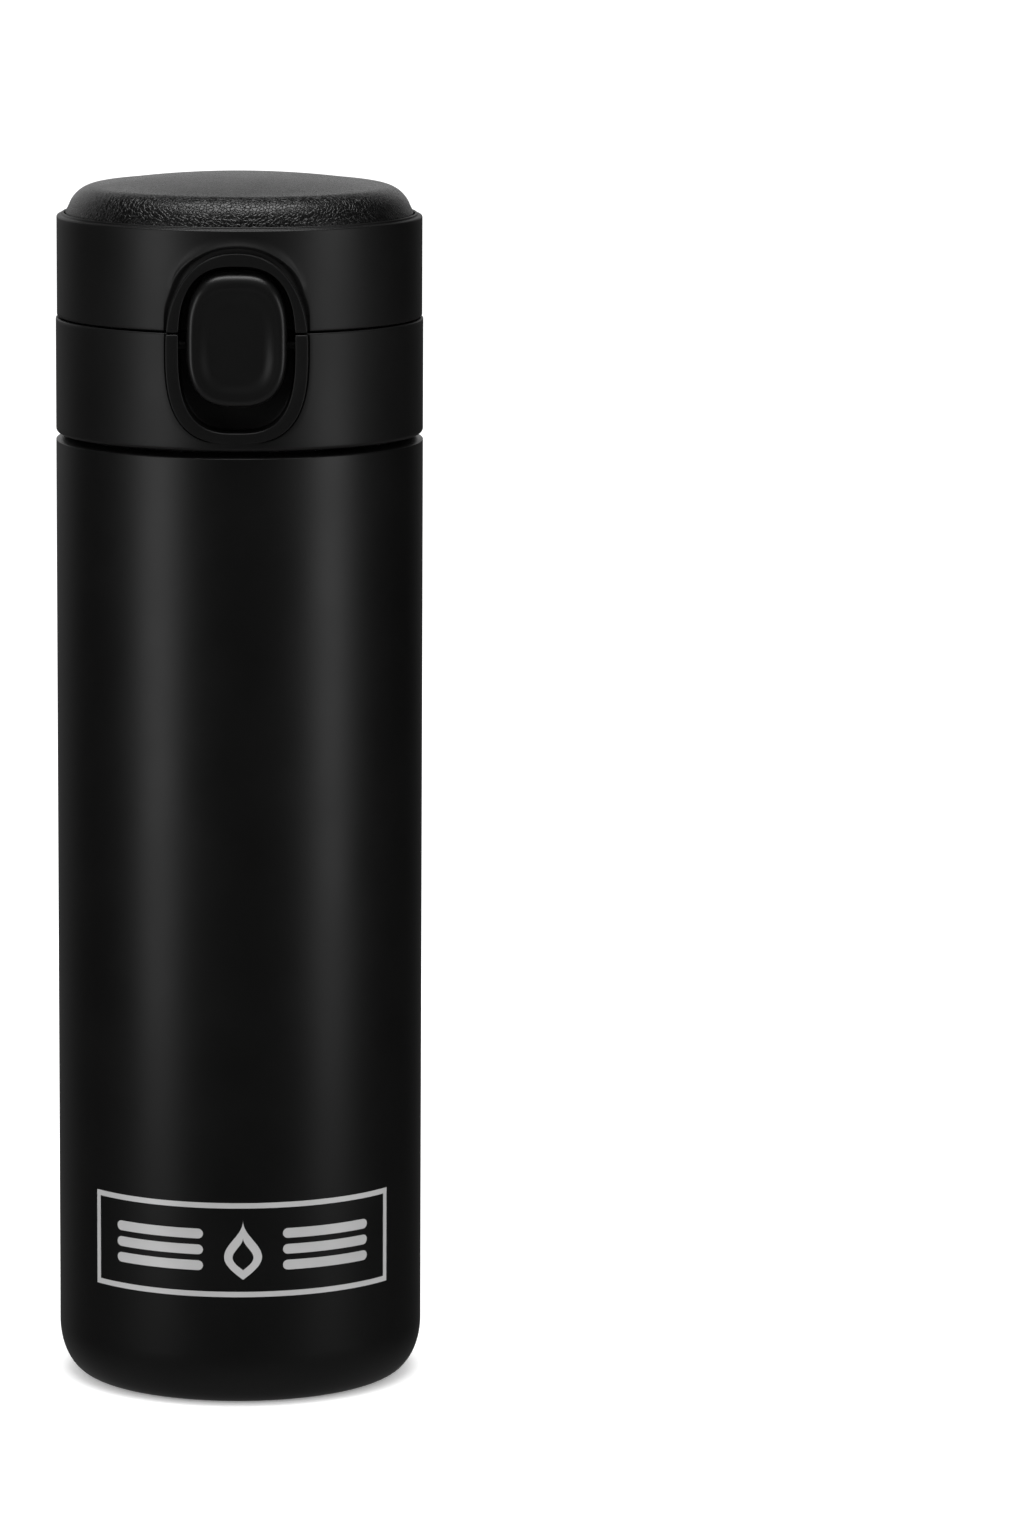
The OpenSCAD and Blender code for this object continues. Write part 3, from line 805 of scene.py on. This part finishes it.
def inner_vessel():
    """Steel vessel with a long soft shoulder, ending in the rim that is welded to the neck."""
    vessel_r, neck_in = BODY_R - 3.5, NECK_R - 1.5
    z0, z1 = BODY_H - 16, BODY_H - 2
    steps, rim_r = 24, 0.35

    def side(d):
        slope = [(vessel_r - d + (neck_in - vessel_r) * (1 - math.cos(math.pi * i / steps)) / 2,
                  z0 + (z1 - z0) * i / steps) for i in range(steps + 1)]
        return [(vessel_r - d, 11)] + slope

    under = NECK_TOP - VESSEL_T
    rim_in = neck_in - VESSEL_T + rim_r
    rim = [(neck_in, under), (NECK_R, under), (NECK_R, NECK_TOP - 0.12), (NECK_R - 0.12, NECK_TOP),
           (rim_in, NECK_TOP)] + arc(rim_in, NECK_TOP - rim_r, rim_r, 90, 180, 4)
    mesh_object("inner_vessel_wall", *lathe(side(0) + rim + side(VESSEL_T)[::-1], 192, closed=True),
                "flask", "bare_steel", STEEL, ["inner_vessel"], 45)


def silver_print():
    """A generic mark on the front of the body: a plain frame round a drop and some bars."""
    under, face = BODY_R + 0.004, BODY_R + 0.03
    u_mid, z_mid = 1.0, 29.0                 # its middle, along the wall and in height
    half_w, half_h, line = 30.0, 8.6, 0.98
    bar_from, bar_to, bar_r = 7.2, 24.6, 0.9
    drop_h, drop_w, hollow = 10.8, 3.6, 0.55
    parts = []

    def on_body(u, z, r):
        a = (u + u_mid) / BODY_R
        return (r * math.sin(a), -r * math.cos(a), z_mid + z)

    def patch(rows, steps):
        """A thin closed layer from rows of (left end, right end, height)."""
        sheets, rims = [], []
        for r in (face, under):
            sheet = [[on_body(u0 + (u1 - u0) * k / steps, z, r) for k in range(steps + 1)]
                     for u0, u1, z in rows]
            rim = [row[0] for row in sheet] + sheet[-1][1:]
            rim += [row[-1] for row in sheet[::-1]][1:] + sheet[0][::-1][1:]
            sheets.append(loft(sheet))
            rims.append(rim)
        parts.extend(sheets + [loft(rims)])

    def half_width(share):
        """Half the drop's width at a share of its height."""
        c = math.cos(math.pi * share)
        return drop_w * math.sqrt(max(0.0, 1 - c * c)) * ((1 + c) / 2) ** 0.55 * 1.25

    for z in (half_h - line, -half_h):
        patch([(-half_w, half_w, z + line * k / 2) for k in range(3)], 120)
    for u in (-half_w, half_w - line):
        patch([(u, u + line, (half_h - line) * (k / 4 - 1)) for k in range(9)], 3)

    for sign in (-1, 1):
        left, right = sorted((sign * bar_from, sign * bar_to))
        for z in (2.9, -2.9, 0):
            rows = []
            for k in range(9):
                v = math.pi * k / 8 - math.pi / 2
                inset = bar_r * (1 - math.cos(v))
                rows.append((left + inset, right - inset, z + bar_r * math.sin(v)))
            patch(rows, 40)

    centre = -drop_h / 2 + drop_h * 0.36     # height of the middle of the drop's hollow
    rows_left, rows_right = [], []
    for k in range(45):
        w = half_width(k / 44)
        z = -drop_h / 2 + drop_h * k / 44
        share = ((z - centre) / hollow + centre + drop_h / 2) / drop_h
        w_in = half_width(share) * hollow if 0 < share < 1 else 0.0
        rows_left.append((-w, -w_in, z))
        rows_right.append((w_in, w, z))
    patch(rows_left, 6)
    patch(rows_right, 6)
    mesh_object("silver_mark", *joined(*parts), "flask", "bare_steel", PRINT, (), 60)


# ---------------------------------------------------------------- the collar

def collar_wall():
    outer, inner = moulding_specs(BODY_R, COLLAR_IN, 0.3, 0.9, False, POCKET_Y)
    edge = 0.8
    foot = arc(BODY_R - edge, COLLAR_Z + edge, edge, 0, -90, 8)
    foot += [(COLLAR_IN + 0.25, COLLAR_Z), (COLLAR_IN, COLLAR_Z + 0.25), (COLLAR_IN, COLLAR_Z + 0.5)]
    parts = half_moulding(outer, inner, BODY_R, COLLAR_IN, COLLAR_TOP, -1, COLLAR_Z + edge,
                          COLLAR_Z + 0.5, HINGE_Z - KNUCKLE_ROOM, 6, EAR_IN, [foot])
    mesh_object("collar_wall", *parts, "collar", "black_plastic", SHELL, ["collar_shell"], 42)


def collar_hinge():
    """The block that closes the rear notch under the knuckle, and the two ears."""
    foot, front = HINGE_Z - 9, 27.65
    cradle = [(front, foot), (front, HINGE_Z - 0.35)]
    cradle += arc(HINGE_Y, HINGE_Z, KNUCKLE_ROOM, 185, 262, 16) + [(COLLAR_IN + 0.1, foot)]
    mesh_object("hinge_block", *extruded(cradle, -EAR_OUT, EAR_OUT, 0.2), "collar", "black_plastic",
                SHELL, (), 50)
    ear = arc(HINGE_Y, HINGE_Z, KNUCKLE_R, 0, 180, 24)
    ear += [(HINGE_Y - KNUCKLE_R, foot), (HINGE_Y - 0.6, HINGE_Z - 12)]
    for name, x0, x1 in (("hinge_ear_left", -EAR_OUT, -EAR_IN), ("hinge_ear_right", EAR_IN, EAR_OUT)):
        mesh_object(name, *extruded(ear, x0, x1, 0.3), "collar", "black_plastic", SHELL, (), 50)


def drinking_spout():
    """Spout with a rolled lip, the deck round it and the plug that enters the neck."""
    lip = 1.25
    wall = 2 * lip + 0.5
    deck = DECK_TOP - 1.8
    joint_r, rim_r, fillet = 22.4, 24.4, 1.5
    plug_in, plug_out, plug_z, bevel = 18.8, 20.2, deck - 4.5, 0.3
    section = [(rim_r, deck), (rim_r, deck + 0.9), (joint_r, deck + 0.9), (joint_r, DECK_TOP)]
    section += arc(SPOUT_IN + wall + fillet, DECK_TOP + fillet, fillet, 270, 180, 8)
    section += arc(SPOUT_IN + lip, SPOUT_TOP - lip, lip, 0, 180, 18)
    section += [(SPOUT_IN, deck + bevel), (SPOUT_IN + bevel, deck), (plug_in, deck),
                (plug_in, plug_z + bevel), (plug_in + bevel, plug_z), (plug_out - bevel, plug_z),
                (plug_out, plug_z + bevel), (plug_out, deck)]
    mesh_object("drinking_spout", *lathe(section, 192, closed=True), "collar", "inner_plastic", INNER,
                ["drink_spout"], 50)


# ---------------------------------------------------------------- the lid

def lid_wall():
    """Side wall with the upper half of the surround, the bead round the crown and the web."""
    outer, inner = moulding_specs(LID_R, LID_IN, 0.5, None, True, CATCH_Y)
    far_z = LID_TOP - 1.8
    groove_r = CROWN_R + 0.25
    top_r, bead_r = 0.38, 0.2
    web_edge = 0.6
    top = [(LID_R, far_z)] + arc(LID_R - top_r, LID_TOP - 0.8, top_r, 0, 90, 7)
    top += [(LID_R - 0.62, LID_TOP - 0.41), (LID_R - 0.76, LID_TOP - 0.37),
            (LID_R - 0.84, LID_TOP - 0.28)]
    top += arc(LID_R - 1.05, LID_TOP - bead_r, bead_r, 0, 90, 5)
    top += [(groove_r + 0.1, LID_TOP), (groove_r, LID_TOP - 0.1), (groove_r, WEB_TOP), (0, WEB_TOP)]
    under = [(LID_IN, WEB_Z - web_edge), (LID_IN - web_edge, WEB_Z), (0, WEB_Z)]
    parts = half_moulding(outer, inner, LID_R, LID_IN, LID_Z, 1, far_z, WEB_Z - web_edge,
                          NOTCH_TOP, 7, NOTCH_X, [top, under])
    mesh_object("lid_wall", *parts, "lid", "black_plastic", SHELL, ["lid_shell"], 42)


def lid_fittings():
    """The hinge knuckle and the ledge that the latch catches."""
    knuckle = arc(HINGE_Y, HINGE_Z, KNUCKLE_R, 180, 360, 28)
    knuckle += [(HINGE_Y + 0.35, HINGE_Z + 10), (HINGE_Y - 0.6, HINGE_Z + 10),
                (HINGE_Y - 0.6, HINGE_Z + 5)]
    mesh_object("lid_knuckle", *extruded(knuckle, -LID_KNUCKLE, LID_KNUCKLE, 0.3), "lid",
                "black_plastic", SHELL, (), 50)
    y0, y1, z0, z1, half_w = -28.8, -27.9, 198.5, 200.1, 4.5
    ledge = rounded([(y0, z0), (y1, z0), (y1, z1), (y0, z1)], 0.25, 4)
    mesh_object("catch_ledge", *extruded(ledge, -half_w, half_w, 0.2), "lid", "black_plastic", INNER,
                (), 50)


def lid_crown():
    """Domed cap: a side that leans in, a broad rounded corner and a low crown."""
    corner, lean, rise, step = 5.5, 20, 1.96, 0.6
    last = 84                                # where the corner meets the dome, in degrees
    foot_z, side_z = WEB_TOP + 0.05, LID_TOP + 0.1
    cz = CROWN_TOP - rise - corner

    def skin(t, corner_steps, dome_steps):
        r = corner - t
        cx = CROWN_R - t - step - r * math.cos(math.radians(lean))
        dome_z = cz + r * math.sin(math.radians(last))
        shares = (1 - k / dome_steps for k in range(1, dome_steps + 1))
        side = [(CROWN_R - t, foot_z), (CROWN_R - t, side_z)]
        return (side + arc(cx, cz, r, lean, last, corner_steps)
                + [(cx * u, dome_z + (1 - u * u) * rise) for u in shares])

    section = skin(0, 22, 20) + skin(2.2, 6, 8)[::-1]
    mesh_object("lid_crown", *lathe(section, 256, closed=True), "lid", "grained_plastic", CROWN,
                ["crown_cap"], 50)


# ---------------------------------------------------------------- the button

def button_rows():
    """Closed rows of the button: side, rounded rim, broader at the top, and a dished face."""
    side_r, top_r = 1.3, 2.8
    mid = 0.44                               # share of the height where the button is widest
    middle = BUTTON_Z0 + mid * (BUTTON_Z1 - BUTTON_Z0)

    def outline(side, top):
        grow = 0.07 * side
        return oval_points(BUTTON_W - 2 * side, BUTTON_Z0 + side, BUTTON_Z1 - top, mid, 3.1 + grow,
                           2.7 + grow, 180)

    def rim(z):
        return side_r + (top_r - side_r) * smoothstep((z - middle - 5) / (BUTTON_Z1 - middle - 6))

    def dish(s, z):
        """Y of the face at the distance s from the rim. The dish is deepest at the foot."""
        foot = smoothstep((middle + 10 - z) / 14)
        hollow = (0.12 + 0.50 * foot) * smoothstep((s - 0.5) / 2.55)
        return BUTTON_FRONT + 0.08 * smoothstep(s / 0.7) + hollow

    out = []
    for d, y in ((0.25, BUTTON_BACK), (0.0, BUTTON_BACK - 0.25)):
        out.append([(x, y, z) for x, z in outline(d, d)])
    for a in range(0, 91, 9):
        s, c = sin_cos(a)
        rows = outline(side_r * (1 - c), top_r * (1 - c))
        out.append([(x, BUTTON_FRONT + rim(z) * (1 - s), z) for x, z in rows])
    steps = [0.2 * k for k in range(1, 23)]
    for s in steps:
        out.append([(x, dish(s, z), z) for x, z in outline(side_r + s, top_r + s)])
    inner = outline(side_r + steps[-1], top_r + steps[-1])
    for k in range(1, 9):
        u = 1 - k / 8
        shrunk = [(x * u, middle + (z - middle) * u) for x, z in inner]
        out.append([(x, dish(steps[-1], z), z) for x, z in shrunk])
    return out


def button_face():
    rows = button_rows()
    verts, faces = loft(rows, closed=True)
    faces.append(list(range(len(rows[0]))))
    mesh_object("button_face", verts, faces, "button", "black_plastic", BUTTON, ["button_cap"], 50)


def button_spring():
    """Coil between the collar and the button, drawn at rest: the mesh doesn't shorten as the button
    is pressed.
    """
    wire, turns, steps, sides = 0.3, 3, 120, 10
    cap_y, seat_y = low("button_spring", 1), high("button_spring", 1)
    z = (low("button_spring", 2) + high("button_spring", 2)) / 2
    coil_r = high("button_spring", 0) - wire
    rings = []
    for i in range(steps + 1):
        a = 2 * math.pi * turns * i / steps
        y = seat_y - wire + (cap_y - seat_y + 2 * wire) * i / steps
        ring = []
        for k in range(sides):
            b = 2 * math.pi * k / sides
            r = coil_r + wire * math.cos(b)
            ring.append((r * math.cos(a), y + wire * math.sin(b), z + r * math.sin(a)))
        rings.append(ring)
    coil = mesh_object("button_spring_coil", *loft(rings, closed=True, capped=True), None,
                       "spring_steel", SPRING, ["button_spring"], 60)
    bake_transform(coil)


# ---------------------------------------------------------------- carried-over nodes

def keep_nodes():
    """Materials and softened edges for the CAD pieces that are shown as they are."""
    kept = {
        "inner_bottom": (STEEL, 0), "copper_foil": (COPPER, 0), "getter": (GETTER, 0.15),
        "port_seal": (GLASS, 0.1), "neck_gasket": (SILICONE, 0), "screw_ring": (INNER, 0),
        # the button pin takes the near-black material that paints the gap's shade
        "hinge_pin": (STEEL, 0.15), "lid_spring": (SPRING, 0), "button_pin": (PIN_PAINTED_SHADE, 0.1),
        "latch_lever": (INNER, 0.2), "lid_liner": (INNER, 0.3),
        "seal_carrier": (INNER, 0), "spout_seal": (SILICONE, 0),
    }
    for node, (mat, soft) in kept.items():
        obj = frame["nodes"][node]
        obj.data.materials.clear()
        obj.data.materials.append(mat)
        if soft:
            b = obj.modifiers.new("soft_edges", "BEVEL")
            b.width = soft * MM
            b.segments = 2
            b.limit_method = "ANGLE"
            b.angle_limit = math.radians(50)


outer_shell()
outer_bottom()
base_cover()
inner_vessel()
silver_print()
collar_wall()
collar_hinge()
drinking_spout()
lid_wall()
lid_fittings()
lid_crown()
button_face()
button_spring()
keep_nodes()


# ---------------------------------------------------------------- camera, light and floor

def place_camera():
    """The photograph's viewing angle, found from the ellipses of the lid, seam and foot."""
    yaw, pitch, roll = 0.0365669, 0.1596352, 0.0049648   # of the camera, in radians
    turn = math.radians(0.95)                # of the flask, so the camera goes round it instead
    position = Vector((0.0, -1.34906, 0.32833))
    forward = Vector((math.sin(yaw) * math.cos(pitch), math.cos(yaw) * math.cos(pitch),
                      -math.sin(pitch)))
    level = Vector((math.cos(yaw), -math.sin(yaw), 0.0))
    upright = level.cross(forward)
    right = level * math.cos(roll) + upright * math.sin(roll)
    up = upright * math.cos(roll) - level * math.sin(roll)
    basis = Matrix((right, up, -forward)).transposed()
    spin = Matrix.Rotation(turn, 3, "Z")
    data = bpy.data.cameras.new("camera")
    data.lens = 176.45
    data.sensor_width = 36.0
    data.dof.use_dof = False
    cam = bpy.data.objects.new("camera", data)
    cam.matrix_world = Matrix.Translation(spin @ position) @ (spin @ basis).to_4x4()
    bpy.context.scene.collection.objects.link(cam)
    bpy.context.scene.camera = cam


def softbox(name, azimuth, elevation, distance, aim_z, width, height, power):
    """A rectangular light. Azimuth 0 is on the camera's side and 90 to the right, and
    elevation 90 is overhead."""
    a, e = math.radians(azimuth), math.radians(elevation)
    aim = Vector((0, 0, aim_z))
    offset = Vector((math.sin(a) * math.cos(e), -math.cos(a) * math.cos(e), math.sin(e))) * distance
    data = bpy.data.lights.new(name, "AREA")
    data.shape = "RECTANGLE"
    data.size, data.size_y = width, height
    data.energy = power
    obj = bpy.data.objects.new(name, data)
    obj.location = aim + offset
    obj.rotation_mode = "QUATERNION"
    obj.rotation_quaternion = (-offset).to_track_quat("-Z", "Y")
    obj.visible_camera = False
    bpy.context.scene.collection.objects.link(obj)


# The world that reflections see. A pair says where a smooth step starts and where it ends, as
# the Y or Z of a direction. The other values are brightnesses, apart from the lean.
WORLD_LEAN = -0.2            # turns the bright side sideways
WORLD_BACK = (0.62, 0.98)    # from the dim front to the bright back
WORLD_FLOOR = (-0.12, 0.15)  # from below the horizon to the bright band
WORLD_TOP = (0.34, 0.46)     # from the bright band to the dark top
WORLD_UNDER = (-0.75, -0.05) # from the floor's glow to none
WORLD_LOW, WORLD_HIGH = 0.10, 0.03
WORLD_BRIGHT, WORLD_DIM, FLOOR_GLOW = 0.81, 0.004, 0.15
WORLD_FILL = 1.12            # brightness for diffuse light


def light_world():
    """White behind the object. Reflections see a bright low band behind it and a dim front."""
    world = bpy.data.worlds.new("studio")
    bpy.context.scene.world = world
    world.cycles.sampling_method = "NONE"
    world.use_nodes = True
    nodes, links = world.node_tree.nodes, world.node_tree.links
    background = nodes["Background"]
    background.inputs["Color"].default_value = (1, 1, 1, 1)
    direction = nodes.new("ShaderNodeTexCoord")
    split = nodes.new("ShaderNodeSeparateXYZ")
    links.new(direction.outputs["Generated"], split.inputs[0])

    def math_node(operation, a, b):
        n = nodes.new("ShaderNodeMath")
        n.operation = operation
        for socket, v in zip(n.inputs, (a, b)):
            if isinstance(v, (int, float)):
                socket.default_value = v
            else:
                links.new(v, socket)
        return n.outputs[0]

    def ramp(value, a, b, va, vb):
        m = nodes.new("ShaderNodeMapRange")
        m.interpolation_type = "SMOOTHSTEP"
        for key, v in (("From Min", a), ("From Max", b), ("To Min", va), ("To Max", vb)):
            m.inputs[key].default_value = v
        links.new(value, m.inputs["Value"])
        return m.outputs["Result"]

    x, y, z = split.outputs
    behind = math_node("ADD", y, math_node("MULTIPLY", x, WORLD_LEAN))
    back = ramp(behind, *WORLD_BACK, 0.0, 1.0)
    low_band = ramp(z, *WORLD_TOP, 1.0, WORLD_HIGH)
    below = ramp(z, *WORLD_FLOOR, WORLD_LOW, 1.0)
    shape = math_node("MULTIPLY", math_node("MULTIPLY", back, low_band), below)
    glow = math_node("MULTIPLY", shape, WORLD_BRIGHT)
    under = ramp(z, *WORLD_UNDER, FLOOR_GLOW, 0.0)
    glow = math_node("ADD", math_node("ADD", glow, under), WORLD_DIM)
    rays = nodes.new("ShaderNodeLightPath")
    glossy = math_node("MULTIPLY", rays.outputs["Is Glossy Ray"], glow)
    diffuse = math_node("MULTIPLY", rays.outputs["Is Diffuse Ray"], WORLD_FILL)
    total = math_node("ADD", math_node("ADD", rays.outputs["Is Camera Ray"], glossy), diffuse)
    links.new(total, background.inputs["Strength"])


def floor():
    """A plain pale floor, 12 m wide, which reflections don't see."""
    mesh = bpy.data.meshes.new("floor")
    bm = bmesh.new()
    bmesh.ops.create_grid(bm, x_segments=8, y_segments=8, size=6.0)
    bm.to_mesh(mesh)
    bm.free()
    mat = bpy.data.materials.new("floor_white")
    nodes, links, bsdf = nodes_of(mat)
    bsdf.inputs["Roughness"].default_value = 0.9
    bsdf.inputs["Specular IOR Level"].default_value = 0.0
    tinted(nodes, links, bsdf, noise(nodes, links, 3.0), grey(0.93), grey(0.95))
    bsdf.inputs["Emission Color"].default_value = (1, 1, 1, 1)
    bsdf.inputs["Emission Strength"].default_value = 0.2
    mesh.materials.append(mat)
    obj = bpy.data.objects.new("floor", mesh)
    obj.visible_glossy = False
    bpy.context.scene.collection.objects.link(obj)


place_camera()
light_world()
floor()
softbox("left_box", azimuth=-50, elevation=2, distance=0.55, aim_z=0.178,
        width=0.19, height=0.41, power=0.51)
softbox("right_box", azimuth=57.5, elevation=2, distance=0.55, aim_z=0.18,
        width=0.19, height=0.40, power=0.47)
softbox("top_box", azimuth=0, elevation=81, distance=0.60, aim_z=0.21,
        width=0.55, height=0.40, power=3.8)
bpy.context.scene.view_settings.view_transform = "Standard"
